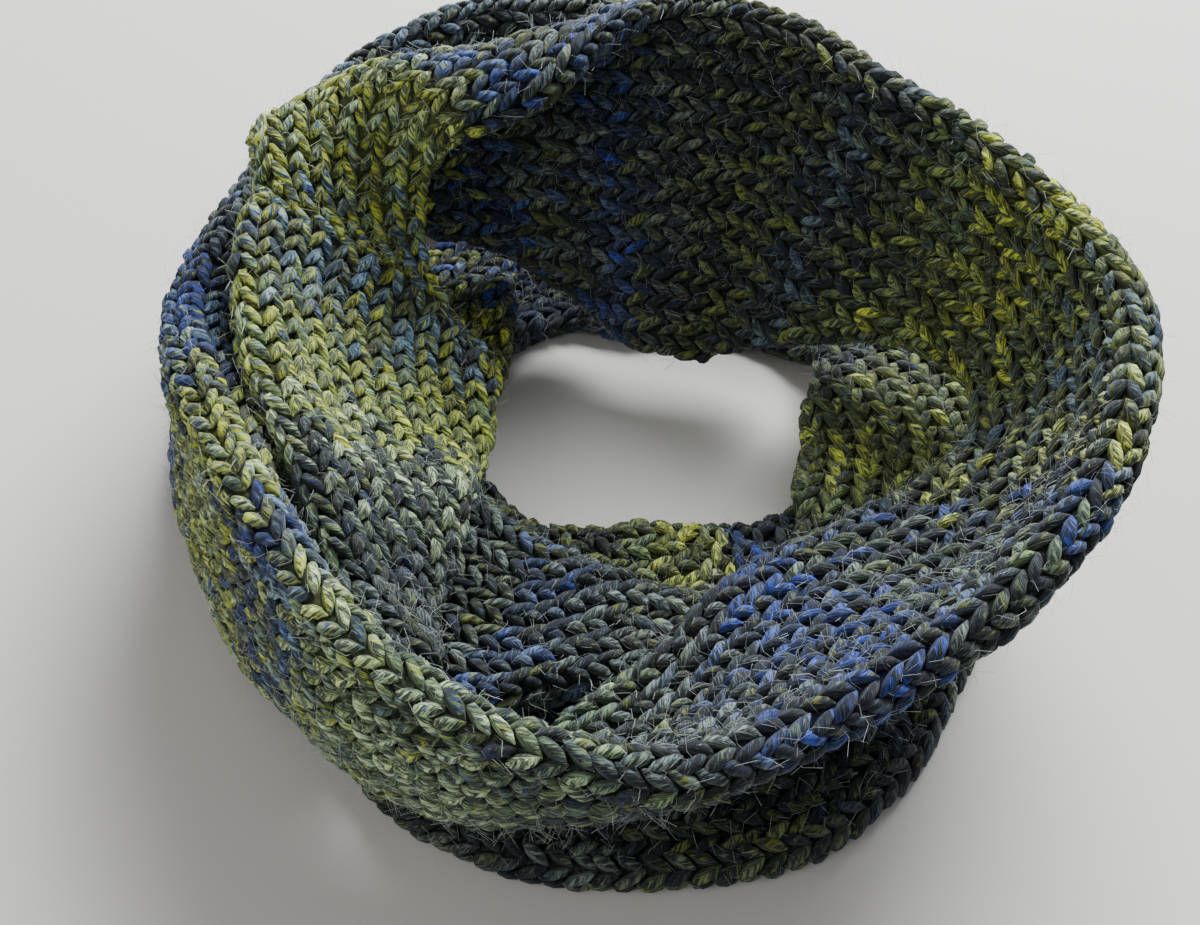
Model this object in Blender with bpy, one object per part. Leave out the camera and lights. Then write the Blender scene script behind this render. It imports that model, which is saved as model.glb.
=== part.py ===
# Infinity scarf: one knitted tube, pressed flat into a band, given a half turn, joined end to end and
# wound three times round. It stands on a table like a nest: the upper turn leans outward, a panel of it
# folds inward on the left, and the lower turns lie flat under it.
# Each stretch of the winding that shows is a hollow flattened tube of its own. Its sections are placed by
# the angle along the winding (turn), and its two ends are open, facing the next stretch.

import bpy
import bmesh
import numpy as np
from mathutils import Vector

MM = 0.001

# The upright axis that the scarf is wound round, in millimetres from the origin.
AXIS_X = 6.575
AXIS_Y = 3.13

CLOTH = 3.2          # wall: one layer of the chunky knit
EDGE_EXTRA = 2.5     # the band's folded edges are this much thicker than its middle
FOLD_RADIUS = 18.0   # where the band folds over its rim
LEAN_POWER = 1.7     # how late along the band's width its lean changes
FOOT_REACH = 25.0    # a wall shorter than this takes its lean from the rim
SEAM_GAP = 0.3       # between one stretch and the next
ROUND_POINTS = 2     # points round each folded edge of a section
ROUGHNESS = 0.95

# Sections of the winding. Lengths are in millimetres and angles in degrees.
#   turn          angle along the winding
#   rim_r, rim_z  the band's rim, from the axis and above the table
#   width         of the band, laid flat
#   flap          share of the width that hangs from the rim: 0 is a wall up to the rim, 1 is all flap
#   foot, rim     lean of the wall at its foot and at its rim: 0 is upright, 90 lies outward
#   hang, tip     lean of the flap at the rim and at its free edge: -90 lies inward, -180 hangs down
#   body          thickness in the middle of the width, both layers
#   skew          how far the free edge runs ahead of the rim
UPPER_COLUMNS = ("turn", "rim_r", "rim_z", "width", "flap", "foot", "rim", "hang", "tip", "body", "skew")
UPPER = (
    # the outer wall at the left back
    (98, 131, 72, 68, 0, -22, 0, 0, 0, 11, 0),
    (112, 134, 73, 68, 0, -25, 0, 0, 0, 11, 0),
    (128, 130, 71, 67, 0, -30, 0, 0, 0, 11, 0),
    (147, 121, 68, 64, 0, -30, 0, 0, 0, 11, 0),
    (165, 120, 66, 61, 0, -27, 0, 0, 0, 12, 0),
    (180, 118.5, 68, 63, 0, -27, 0, 0, 0, 14, 0),
    # the front left wall, which turns over as it comes forward
    (192, 115, 73, 67, 0, -15, -5, -5, -5, 16, 0),
    (205, 112.5, 76, 70, 0, 3, -12, -12, -12, 15, 0),
    (217, 113.5, 77, 72, 0, 17, -20, -20, -20, 13, 0),
    (228, 118.5, 76, 64, 0, 30, -24, -24, -24, 11, 0),
    (237, 125, 75, 65, 0, 50, -26, -26, -26, 11, 0),
    (246, 130, 74, 67, 0, 72, -24, -24, -24, 11, 0),
    (254, 135, 73, 72, 0, 100, -18, -18, -18, 11, 0),
    (262, 139, 71, 79, 0, 126, -2, -2, -2, 11, 0),
    # the front right panel, leaning outward over the lower turns
    (271, 145, 70, 80, 0, 106, 26, 26, 26, 11, 0),
    (281, 140, 69, 77, 0, 97, 42, 42, 42, 11, 0),
    (292, 134, 72, 78, 0, 88, 44, 44, 44, 11, 0),
    (308, 131, 79, 80, 0, 85, 36, 36, 36, 11, 0),
    (322, 129, 85, 79, 0, 80, 28, 28, 28, 11, 0),
    (337, 124, 90, 70, 0, 63, 20, 20, 20, 11, 0),
    (350, 117, 93, 65, 0, 46, 14, 14, 14, 11, 0),
    # the back wall, whose rim starts to roll inward at the left
    (364, 104, 95, 66, 0, 34, 10, 10, 10, 10, 0),
    (374, 96, 96, 70, 0, 46, 12, 12, 12, 10, 0),
    (384, 90, 97, 80, 0, 52, 16, 16, 16, 9, 0),
    (402, 84, 98, 91, 0, 40, 20, 20, 20, 9, 0),
    (421, 86, 98, 104, 0.02, 54, 22, 0, 0, 9, 0),
    (440, 80, 98, 106, 0.06, 53, 20, -40, -40, 9, 0),
    (458, 75, 95, 107, 0.12, 54, 16, -80, -80, 9, 0),
    (473, 74, 94, 103, 0.205, 36, 10, -100, -100, 11, 0),
    # the half turn: the roll is thickest, then grows into the flap, and the wall shrinks to nothing
    (488, 79, 92, 91, 0.286, 14, 5, -110, -110, 13, 0),
    (500, 88, 92, 85, 0.33, 6, 0, -120, -124, 15, 0),
    (508, 94, 90.5, 69, 0.42, 0, -4, -130, -130, 15, -5),
    (515, 99.5, 88, 53, 0.64, 0, -15, -136, -134, 13, -10),
    (522, 104, 86, 51, 0.86, 0, -60, -138, -134, 12, -12),
    (528, 105.5, 84, 55, 1, 0, -100, -138, -132, 11, -12),
    # the left panel, folded down inward
    (536, 106, 82, 84, 1, 0, -130, -138, -130, 10, -13),
    (545, 105, 80, 87, 1, 0, -140, -140, -128, 10, -6),
    (560, 104, 76.6, 78, 1, 0, -142, -142, -128, 10, 6),
    (575, 104.5, 71.5, 55, 1, 0, -140, -140, -130, 10, 10),
    (584, 109.5, 66, 46, 1, 0, -142, -142, -140, 10, 8),
    (593, 115, 59, 34, 1, 0, -146, -146, -146, 9, 3),
    (604, 119, 52, 18, 1, 0, -150, -150, -150, 8, 0),
)

# The lower turns are all flap, without skew.
LOWER_COLUMNS = ("turn", "rim_r", "rim_z", "width", "hang", "tip", "body")
LOWER = (
    # the inner fold, on the lowest turn
    (568, 104, 15.9, 52, -90, -90, 12),
    (592, 107, 15.9, 57, -90, -90, 12),
    (605, 106, 15.9, 56, -90, -90, 12),
    (614, 96, 15.3, 45, -90, -90, 11),
    (624, 90, 14.8, 38, -90, -90, 10),
    (636, 93, 14.8, 36, -90, -90, 10),
    (646, 101, 15, 42, -90, -90, 10),
    # the right strip
    (656, 105, 15.2, 44, -90, -90, 10),
    (672, 105, 15.6, 48, -91, -91, 9),
    (690, 103, 18.1, 57, -94, -94, 8),
    (708, 101, 19.3, 57, -96, -95, 8),
    (728, 97.5, 19.2, 52.5, -95, -94, 8),
    (741, 94, 15.8, 41, -93, -93, 8),
    # under the back wall, down to the table
    (753, 92, 9.5, 32, -92, -92, 8),
    (766, 91, 3.8, 33, -90, -90, 8),
    (785, 91, 3.8, 37, -90, -90, 8),
    (810, 95, 3.8, 48, -90, -90, 8),
    # on the table, under the left panel
    (835, 98, 3.8, 42, -90, -90, 8),
    (860, 100, 3.8, 45, -90, -90, 8),
    (890, 104, 3.8, 55, -90, -90, 8),
    (915, 107, 3.8, 63, -90, -90, 8),
    (935, 114, 3.8, 73, -90, -90, 8),
    # on the table, spread out at the front
    (950, 125, 3.8, 89, -90, -90, 8),
    (962, 133, 3.8, 101, -90, -90, 8),
    (975, 137, 3.8, 109, -90, -90, 8),
    (993, 136, 3.8, 110, -90, -90, 8),
    (1008, 134, 3.8, 106, -90, -90, 8),
    (1020, 126, 3.8, 95, -90, -90, 8),
    (1035, 114, 3.8, 75, -90, -90, 8),
    # under the right, where it starts to stand up
    (1055, 107, 3.8, 60, -90, -90, 8),
    (1076, 108, 3.8, 48, -90, -90, 8),
    (1092, 113, 7, 33, -93, -93, 8),
    (1106, 116, 24, 25, -138, -138, 9),
    # the outer wall at the back
    (1120, 113, 43, 41, -160, -160, 10),
    (1136, 110, 58, 54, -175, -178, 11),
    (1152, 114, 67, 62, -180, -188, 11),
    (1170, 124, 71, 66, -180, -194, 11),
    (1182, 130, 72, 67, -180, -198, 11),
    (1192, 134, 73, 68, -180, -201, 11),
)

# The panel's lower edge, which lies under the back wall and shows below it.
UNDER = (
    (474, 100, 14.7, 20, -90, -90, 8),
    (482, 100, 14.7, 28, -90, -90, 8),
    (487, 100, 14.7, 37, -90, -90, 8),
    (495, 100, 14.7, 46, -90, -90, 8),
    (505, 100, 14.7, 53, -90, -90, 8),
    (518, 100, 14.7, 56, -90, -90, 8),
    (536, 100, 14.7, 57, -90, -90, 8),
)

# Stretches of the winding: name, sections, where it starts and ends, the distance between its rings, the
# faces across its width, and its colour.
STRETCHES = (
    ("outer_left", UPPER, 110, 180, 13.0, 8, (0.10, 0.12, 0.17)),
    ("front_left", UPPER, 180, 262, 12.0, 8, (0.35, 0.41, 0.27)),
    ("front_right", UPPER, 262, 345, 12.0, 8, (0.14, 0.17, 0.14)),
    ("right_turn", UPPER, 345, 383, 11.0, 8, (0.28, 0.32, 0.18)),
    ("back_right", UPPER, 383, 430, 11.0, 8, (0.13, 0.16, 0.11)),
    ("back_left", UPPER, 430, 475, 9.0, 12, (0.07, 0.09, 0.12)),
    ("twist", UPPER, 475, 500, 7.0, 16, (0.22, 0.27, 0.22)),
    ("panel_top", UPPER, 500, 531, 3.5, 16, (0.33, 0.39, 0.20)),
    ("left_panel", UPPER, 531, 603, 8.0, 12, (0.36, 0.42, 0.20)),
    ("panel_foot", UNDER, 478, 528.5, 12.0, 6, (0.20, 0.24, 0.10)),
    ("inner_fold", LOWER, 571, 650, 11.0, 6, (0.09, 0.11, 0.09)),
    ("right_strip", LOWER, 650, 745, 12.0, 6, (0.19, 0.22, 0.13)),
    ("under_back", LOWER, 745, 840, 13.0, 6, (0.07, 0.09, 0.12)),
    ("table_left", LOWER, 840, 930, 13.0, 6, (0.09, 0.11, 0.09)),
    ("table_front", LOWER, 930, 1040, 12.0, 8, (0.09, 0.10, 0.08)),
    ("table_right", LOWER, 1040, 1120, 12.0, 6, (0.10, 0.12, 0.08)),
    ("table_back", LOWER, 1120, 1190, 13.0, 8, (0.09, 0.11, 0.14)),
)

SAMPLES = 161        # points along a section's middle line before its outline is laid on it
LENGTH_SAMPLES = 9   # sections measured to find a stretch's length
FEWEST_RINGS = 3


def read_row(table, turn):
    """The section at this angle, on a smooth curve through each column of the table."""
    columns = UPPER_COLUMNS if table is UPPER else LOWER_COLUMNS
    knots = np.array(table, float)
    at = knots[:, 0]
    gap = np.diff(at)
    place = int(np.clip(np.searchsorted(at, turn, side="right") - 1, 0, len(at) - 2))
    share = (turn - at[place]) / gap[place]
    section = {"flap": 1.0, "skew": 0.0}
    for column, name in enumerate(columns):
        value = knots[:, column]
        step = np.diff(value) / gap
        slope = np.empty(len(value))
        slope[0] = step[0]
        slope[-1] = step[-1]
        slope[1:-1] = (step[:-1] * gap[1:] + step[1:] * gap[:-1]) / (gap[:-1] + gap[1:])
        rise = share * share * (3 - 2 * share)
        leave = share * (1 - share) ** 2 * gap[place] * slope[place]
        arrive = share * share * (share - 1) * gap[place] * slope[place + 1]
        section[name] = float(value[place] * (1 - rise) + value[place + 1] * rise + leave + arrive)
    section.setdefault("foot", section["hang"])
    section.setdefault("rim", section["hang"])
    return section


def ease(value):
    value = np.clip(value, 0, 1)
    return value * value * (3 - 2 * value)


def middle_line(section):
    """Distance across the width, place (radius, height) and lean of the middle of the band."""
    width = section["width"]
    flap = min(max(section["flap"], 0.0), 1.0)
    across = np.linspace(0, width, SAMPLES)
    fold = width * (1 - flap)
    foot = section["rim"] + (section["foot"] - section["rim"]) * min(1.0, fold / FOOT_REACH)
    up_wall = 1 - (1 - np.clip(across / max(fold, 1e-6), 0, 1)) ** LEAN_POWER
    wall_lean = foot + (section["rim"] - foot) * up_wall
    down_flap = np.clip((across - fold) / max(width - fold, 1e-6), 0, 1)
    flap_lean = section["hang"] + (section["tip"] - section["hang"]) * down_flap
    reach = max(FOLD_RADIUS * abs(np.radians(section["hang"] - section["rim"])) / 2, 1e-3)
    over = ease((across - fold + reach) / (2 * reach))
    lean = np.radians(wall_lean * (1 - over) + flap_lean * over)
    step = across[1]
    outward = np.sin(lean)
    upward = np.cos(lean)
    radius = np.concatenate([[0], np.cumsum((outward[1:] + outward[:-1]) / 2 * step)])
    height = np.concatenate([[0], np.cumsum((upward[1:] + upward[:-1]) / 2 * step)])
    radius += section["rim_r"] - np.interp(fold, across, radius)
    height += section["rim_z"] - np.interp(fold, across, height)
    return across, radius, height, lean


def outline(width, body, edge, faces):
    """Closed outline of the pressed tube: (place across the width, distance from the middle line)."""
    half_edge = edge / 2
    flat = width / 2 - half_edge
    places = np.linspace(-flat, flat, faces + 1)
    depth = body / 2 + (half_edge - body / 2) * ease(np.abs(places) / flat) ** 1.5
    points = list(zip(places, depth))
    angles = np.pi * np.arange(1, ROUND_POINTS + 1) / (ROUND_POINTS + 1)
    for angle in angles:
        points.append((flat + half_edge * np.sin(angle), half_edge * np.cos(angle)))
    points += list(zip(places[::-1], -depth[::-1]))
    for angle in angles:
        points.append((-flat - half_edge * np.sin(angle), -half_edge * np.cos(angle)))
    return np.array(points)


def section_ring(table, turn, faces, inset):
    """Points of one section in millimetres, moved inward by inset to give the inner face of the cloth."""
    section = read_row(table, turn)
    width = section["width"]
    across, radius, height, lean = middle_line(section)
    body = section["body"] - 2 * inset
    shape = outline(width - 2 * inset, body, body + EDGE_EXTRA, faces)
    place = shape[:, 0] + width / 2
    turned = np.interp(place, across, lean)
    ring_radius = np.interp(place, across, radius) + np.cos(turned) * shape[:, 1]
    ring_height = np.interp(place, across, height) - np.sin(turned) * shape[:, 1]
    ring_height = np.maximum(ring_height, inset)
    angle = np.radians(turn + section["skew"] * np.clip(place / width, 0, 1))
    across_x = AXIS_X + ring_radius * np.cos(angle)
    across_y = AXIS_Y + ring_radius * np.sin(angle)
    return np.column_stack([across_x, across_y, ring_height])


def mean_radius(table, turn, faces):
    ring = section_ring(table, turn, faces, 0.0)
    return float(np.hypot(ring[:, 0] - AXIS_X, ring[:, 1] - AXIS_Y).mean())


def ring_turns(table, start, end, spacing, faces):
    """Angles of a stretch's rings, half a seam gap short of both its ends."""
    radii = [mean_radius(table, turn, faces) for turn in np.linspace(start, end, LENGTH_SAMPLES)]
    length = np.radians(end - start) * float(np.mean(radii))
    count = max(FEWEST_RINGS, int(round(length / spacing)))
    first = start + np.degrees(SEAM_GAP / 2 / radii[0])
    last = end - np.degrees(SEAM_GAP / 2 / radii[-1])
    return np.linspace(first, last, count + 1)


def split_corners(corners, centre):
    """Two triangles for four corners, split along the diagonal that passes nearer to the cloth's centre."""
    first = (corners[0].co + corners[2].co) / 2 - centre
    second = (corners[1].co + corners[3].co) / 2 - centre
    if first.length <= second.length:
        return [corners[0], corners[1], corners[2]], [corners[0], corners[2], corners[3]]
    return [corners[0], corners[1], corners[3]], [corners[1], corners[2], corners[3]]


def sweep(mesh, table, turns, faces, inset):
    """Skins the sections at these turns one after another, and returns the first and the last ring."""
    loops = []
    for turn in turns:
        loops.append([mesh.verts.new(point * MM) for point in section_ring(table, turn, faces, inset)])
    count = len(loops[0])
    for near, far, turn in zip(loops[:-1], loops[1:], (turns[:-1] + turns[1:]) / 2):
        between = section_ring(table, turn, faces, inset) * MM
        for place in range(count):
            after = (place + 1) % count
            corners = [near[place], far[place], far[after], near[after]]
            for triangle in split_corners(corners, Vector((between[place] + between[after]) / 2)):
                mesh.faces.new(triangle if inset == 0 else triangle[::-1])
    return loops[0], loops[-1]


def close_end(mesh, outer, inner, at_start):
    """Joins the outer and the inner skin round one open end of the tube."""
    count = len(outer)
    for place in range(count):
        after = (place + 1) % count
        corners = [outer[place], outer[after], inner[after], inner[place]]
        mesh.faces.new(corners if at_start else corners[::-1])


def knit_material(name, colour):
    material = bpy.data.materials.new(name + "_knit")
    material.use_nodes = True
    shader = material.node_tree.nodes["Principled BSDF"]
    shader.inputs["Base Color"].default_value = (*colour, 1.0)
    shader.inputs["Roughness"].default_value = ROUGHNESS
    shader.inputs["Metallic"].default_value = 0.0
    return material


def make_stretch(name, table, start, end, spacing, faces, colour):
    """One hollow stretch of the flattened tube, open at both ends."""
    turns = ring_turns(table, start, end, spacing, faces)
    mesh = bmesh.new()
    outer = sweep(mesh, table, turns, faces, 0.0)
    inner = sweep(mesh, table, turns, faces, CLOTH)
    close_end(mesh, outer[0], inner[0], True)
    close_end(mesh, outer[1], inner[1], False)
    bmesh.ops.recalc_face_normals(mesh, faces=mesh.faces[:])
    data = bpy.data.meshes.new(name)
    mesh.to_mesh(data)
    mesh.free()
    data.materials.append(knit_material(name, colour))
    data.shade_smooth()
    data.set_sharp_from_angle(angle=np.radians(50))
    stretch = bpy.data.objects.new(name, data)
    bpy.context.scene.collection.objects.link(stretch)
    return stretch


for old in list(bpy.data.objects):
    bpy.data.objects.remove(old)

for row in STRETCHES:
    make_stretch(*row)
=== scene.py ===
import math

import bpy
import numpy as np
from mathutils import Matrix, Vector


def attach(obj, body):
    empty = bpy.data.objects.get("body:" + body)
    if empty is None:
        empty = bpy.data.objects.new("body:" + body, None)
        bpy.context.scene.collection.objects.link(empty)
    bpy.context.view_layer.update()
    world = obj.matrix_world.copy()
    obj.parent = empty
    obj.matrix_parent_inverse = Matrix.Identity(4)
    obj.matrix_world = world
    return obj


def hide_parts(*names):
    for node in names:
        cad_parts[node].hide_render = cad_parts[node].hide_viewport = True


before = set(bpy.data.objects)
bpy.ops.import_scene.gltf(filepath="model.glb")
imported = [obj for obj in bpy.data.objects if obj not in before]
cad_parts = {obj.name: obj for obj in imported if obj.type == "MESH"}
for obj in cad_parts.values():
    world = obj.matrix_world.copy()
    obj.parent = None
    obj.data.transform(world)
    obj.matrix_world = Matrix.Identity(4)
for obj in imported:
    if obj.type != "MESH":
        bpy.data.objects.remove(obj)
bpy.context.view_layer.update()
print("frame loaded")

mm = 0.001

# The form of the winding, in millimetres and degrees.
form = {
    "middleX": 6.575,
    "middleY": 3.13,
    "edgeExtra": 2.5,      # how much thicker the folded edges are than the rest
    "edgePower": 1.5,      # above 1, the extra thickness stays near the edges
    "foldRadius": 18.0,    # of the roll where a wall turns over
    "leanPower": 1.7,      # above 1, a wall bends most near its foot
    "footReach": 25.0,     # the least wall that gets its whole lean at the foot
    "samples": 161,        # across the band
    # general unevenness: depth, waves along and across the band, start
    "waves": ((0.45, 0.151, 0.093, 0.0), (0.35, 0.083, -0.171, 1.7)),
    "creaseReach": 3.5,    # a crease ends this many of its lengths away
}

# Sections of the winding, in millimetres and degrees, as in the solids.
upperColumns = ("turn", "rimR", "rimZ", "width", "flap", "foot", "rim", "hang", "tip", "body", "skew")
upperRows = (
    # the outer wall at the left back
    (98, 131, 72, 68, 0, -22, 0, 0, 0, 11, 0),
    (112, 134, 73, 68, 0, -25, 0, 0, 0, 11, 0),
    (128, 130, 71, 67, 0, -30, 0, 0, 0, 11, 0),
    (147, 121, 68, 64, 0, -30, 0, 0, 0, 11, 0),
    (165, 120, 66, 61, 0, -27, 0, 0, 0, 12, 0),
    (180, 118.5, 68, 63, 0, -27, 0, 0, 0, 14, 0),
    # the front left wall, which turns over as it comes forward
    (192, 115, 73, 67, 0, -15, -5, -5, -5, 16, 0),
    (205, 112.5, 76, 70, 0, 3, -12, -12, -12, 15, 0),
    (217, 113.5, 77, 72, 0, 17, -20, -20, -20, 13, 0),
    (228, 118.5, 76, 64, 0, 30, -24, -24, -24, 11, 0),
    (237, 125, 75, 65, 0, 50, -26, -26, -26, 11, 0),
    (246, 130, 74, 67, 0, 72, -24, -24, -24, 11, 0),
    (254, 135, 73, 72, 0, 100, -18, -18, -18, 11, 0),
    (262, 139, 71, 79, 0, 126, -2, -2, -2, 11, 0),
    # the front right panel, leaning outward over the lower turns
    (271, 145, 70, 80, 0, 106, 26, 26, 26, 11, 0),
    (281, 140, 69, 77, 0, 97, 42, 42, 42, 11, 0),
    (292, 134, 72, 78, 0, 88, 44, 44, 44, 11, 0),
    (308, 131, 79, 80, 0, 85, 36, 36, 36, 11, 0),
    (322, 129, 85, 79, 0, 80, 28, 28, 28, 11, 0),
    (337, 124, 90, 70, 0, 63, 20, 20, 20, 11, 0),
    (350, 117, 93, 65, 0, 46, 14, 14, 14, 11, 0),
    # the back wall, whose rim starts to roll inward at the left
    (364, 104, 95, 66, 0, 34, 10, 10, 10, 10, 0),
    (374, 96, 96, 70, 0, 46, 12, 12, 12, 10, 0),
    (384, 90, 97, 80, 0, 52, 16, 16, 16, 9, 0),
    (402, 84, 98, 91, 0, 40, 20, 20, 20, 9, 0),
    (421, 86, 98, 104, 0.02, 54, 22, 0, 0, 9, 0),
    (440, 80, 98, 106, 0.06, 53, 20, -40, -40, 9, 0),
    (458, 75, 95, 107, 0.12, 54, 16, -80, -80, 9, 0),
    (473, 74, 94, 103, 0.205, 36, 10, -100, -100, 11, 0),
    # the half turn: the roll is thickest, then grows into the flap, and the wall shrinks to nothing
    (488, 79, 92, 91, 0.286, 14, 5, -110, -110, 13, 0),
    (500, 88, 92, 85, 0.33, 6, 0, -120, -124, 15, 0),
    (508, 94, 90.5, 69, 0.42, 0, -4, -130, -130, 15, -5),
    (515, 99.5, 88, 53, 0.64, 0, -15, -136, -134, 13, -10),
    (522, 104, 86, 51, 0.86, 0, -60, -138, -134, 12, -12),
    (528, 105.5, 84, 55, 1, 0, -100, -138, -132, 11, -12),
    # the left panel, folded down inward
    (536, 106, 82, 84, 1, 0, -130, -138, -130, 10, -13),
    (545, 105, 80, 87, 1, 0, -140, -140, -128, 10, -6),
    (560, 104, 76.6, 78, 1, 0, -142, -142, -128, 10, 6),
    (575, 104.5, 71.5, 55, 1, 0, -140, -140, -130, 10, 10),
    (584, 109.5, 66, 46, 1, 0, -142, -142, -140, 10, 8),
    (593, 115, 59, 34, 1, 0, -146, -146, -146, 9, 3),
    (604, 119, 52, 18, 1, 0, -150, -150, -150, 8, 0),
)

lowerColumns = ("turn", "rimR", "rimZ", "width", "hang", "tip", "body")
lowerRows = (
    # the inner fold, on the lowest turn
    (568, 104, 15.9, 52, -90, -90, 12),
    (592, 107, 15.9, 57, -90, -90, 12),
    (605, 106, 15.9, 56, -90, -90, 12),
    (614, 96, 15.3, 45, -90, -90, 11),
    (624, 90, 14.8, 38, -90, -90, 10),
    (636, 93, 14.8, 36, -90, -90, 10),
    (646, 101, 15, 42, -90, -90, 10),
    # the right strip
    (656, 105, 15.2, 44, -90, -90, 10),
    (672, 105, 15.6, 48, -91, -91, 9),
    (690, 103, 18.1, 57, -94, -94, 8),
    (708, 101, 19.3, 57, -96, -95, 8),
    (728, 97.5, 19.2, 52.5, -95, -94, 8),
    (741, 94, 15.8, 41, -93, -93, 8),
    # under the back wall, down to the table
    (753, 92, 9.5, 32, -92, -92, 8),
    (766, 91, 3.8, 33, -90, -90, 8),
    (785, 91, 3.8, 37, -90, -90, 8),
    (810, 95, 3.8, 48, -90, -90, 8),
    # on the table, under the left panel
    (835, 98, 3.8, 42, -90, -90, 8),
    (860, 100, 3.8, 45, -90, -90, 8),
    (890, 104, 3.8, 55, -90, -90, 8),
    (915, 107, 3.8, 63, -90, -90, 8),
    (935, 114, 3.8, 73, -90, -90, 8),
    # on the table, spread out at the front
    (950, 125, 3.8, 89, -90, -90, 8),
    (962, 133, 3.8, 101, -90, -90, 8),
    (975, 137, 3.8, 109, -90, -90, 8),
    (993, 136, 3.8, 110, -90, -90, 8),
    (1008, 134, 3.8, 106, -90, -90, 8),
    (1020, 126, 3.8, 95, -90, -90, 8),
    (1035, 114, 3.8, 75, -90, -90, 8),
    # under the right, where it starts to stand up
    (1055, 107, 3.8, 60, -90, -90, 8),
    (1076, 108, 3.8, 48, -90, -90, 8),
    (1092, 113, 7, 33, -93, -93, 8),
    (1106, 116, 24, 25, -138, -138, 9),
    # the outer wall at the back
    (1120, 113, 43, 41, -160, -160, 10),
    (1136, 110, 58, 54, -175, -178, 11),
    (1152, 114, 67, 62, -180, -188, 11),
    (1170, 124, 71, 66, -180, -194, 11),
    (1182, 130, 72, 67, -180, -198, 11),
    (1192, 134, 73, 68, -180, -201, 11),
)

# The panel's lower edge, which lies under the back wall.
underRows = (
    (474, 100, 14.7, 20, -90, -90, 8),
    (482, 100, 14.7, 28, -90, -90, 8),
    (487, 100, 14.7, 37, -90, -90, 8),
    (495, 100, 14.7, 46, -90, -90, 8),
    (505, 100, 14.7, 53, -90, -90, 8),
    (518, 100, 14.7, 56, -90, -90, 8),
    (536, 100, 14.7, 57, -90, -90, 8),
)

# Stretches: CAD node, sections, start, end, slot of its yarn, what it lies on.
stretches = (
    ("table_left", lowerRows, 840, 930, "charcoal", ("floor",)),
    ("table_front", lowerRows, 930, 1040, "charcoal", ("floor",)),
    ("table_right", lowerRows, 1040, 1120, "charcoal", ("floor",)),
    ("under_back", lowerRows, 745, 840, "blue_grey", ("floor",)),
    ("table_back", lowerRows, 1120, 1190, "blue_grey", ("floor",)),
    ("inner_fold", lowerRows, 571, 650, "charcoal", ("table_left", "table_front")),
    ("right_strip", lowerRows, 650, 745, "olive_lime", ("table_right",)),
    ("panel_foot", underRows, 478, 528.5, "olive_lime", ("table_left",)),
    ("outer_left", upperRows, 110, 180, "blue_grey", ("floor",)),
    ("front_left", upperRows, 180, 262, "grey_green", ("table_front",)),
    ("front_right", upperRows, 262, 345, "charcoal", ("table_front",)),
    ("right_turn", upperRows, 345, 383, "olive_lime", ("right_strip",)),
    ("back_right", upperRows, 383, 430, "charcoal", ("right_strip",)),
    ("back_left", upperRows, 430, 475, "blue_grey", ("under_back",)),
    ("twist", upperRows, 475, 500, "grey_green", ("outer_left",)),
    ("panel_top", upperRows, 500, 531, "lime", ("outer_left",)),
    ("left_panel", upperRows, 531, 603, "lime", ("outer_left", "inner_fold")),
)


def readRow(table, turn):
    # one section, on a smooth curve through each column
    columns = upperColumns if table is upperRows else lowerColumns
    knots = np.array(table, float)
    at = knots[:, 0]
    gap = np.diff(at)
    place = int(np.clip(np.searchsorted(at, turn, side="right") - 1, 0, len(at) - 2))
    share = (turn - at[place]) / gap[place]
    section = {"flap": 1.0, "skew": 0.0}
    for column, name in enumerate(columns):
        value = knots[:, column]
        step = np.diff(value) / gap
        slope = np.empty(len(value))
        slope[0] = step[0]
        slope[-1] = step[-1]
        slope[1:-1] = (step[:-1] * gap[1:] + step[1:] * gap[:-1]) / (gap[:-1] + gap[1:])
        rise = share * share * (3 - 2 * share)
        leave = share * (1 - share) ** 2 * gap[place] * slope[place]
        arrive = share * share * (share - 1) * gap[place] * slope[place + 1]
        section[name] = float(value[place] * (1 - rise) + value[place + 1] * rise + leave + arrive)
    section.setdefault("foot", section["hang"])
    section.setdefault("rim", section["hang"])
    return section


def ease(value):
    value = np.clip(value, 0, 1)
    return value * value * (3 - 2 * value)


def middleLine(section):
    # place across the width, radius, height and lean of the middle of the band
    width = section["width"]
    flap = min(max(section["flap"], 0.0), 1.0)
    across = np.linspace(0, width, form["samples"])
    fold = width * (1 - flap)
    foot = section["rim"] + (section["foot"] - section["rim"]) * min(1.0, fold / form["footReach"])
    upWall = 1 - (1 - np.clip(across / max(fold, 1e-6), 0, 1)) ** form["leanPower"]
    wallLean = foot + (section["rim"] - foot) * upWall
    downFlap = np.clip((across - fold) / max(width - fold, 1e-6), 0, 1)
    flapLean = section["hang"] + (section["tip"] - section["hang"]) * downFlap
    reach = max(form["foldRadius"] * abs(np.radians(section["hang"] - section["rim"])) / 2, 1e-3)
    over = ease((across - fold + reach) / (2 * reach))
    lean = np.radians(wallLean * (1 - over) + flapLean * over)
    step = across[1]
    outward = np.sin(lean)
    upward = np.cos(lean)
    radius = np.concatenate([[0], np.cumsum((outward[1:] + outward[:-1]) / 2 * step)])
    height = np.concatenate([[0], np.cumsum((upward[1:] + upward[:-1]) / 2 * step)])
    radius += section["rimR"] - np.interp(fold, across, radius)
    height += section["rimZ"] - np.interp(fold, across, height)
    return across, radius, height, lean


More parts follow.
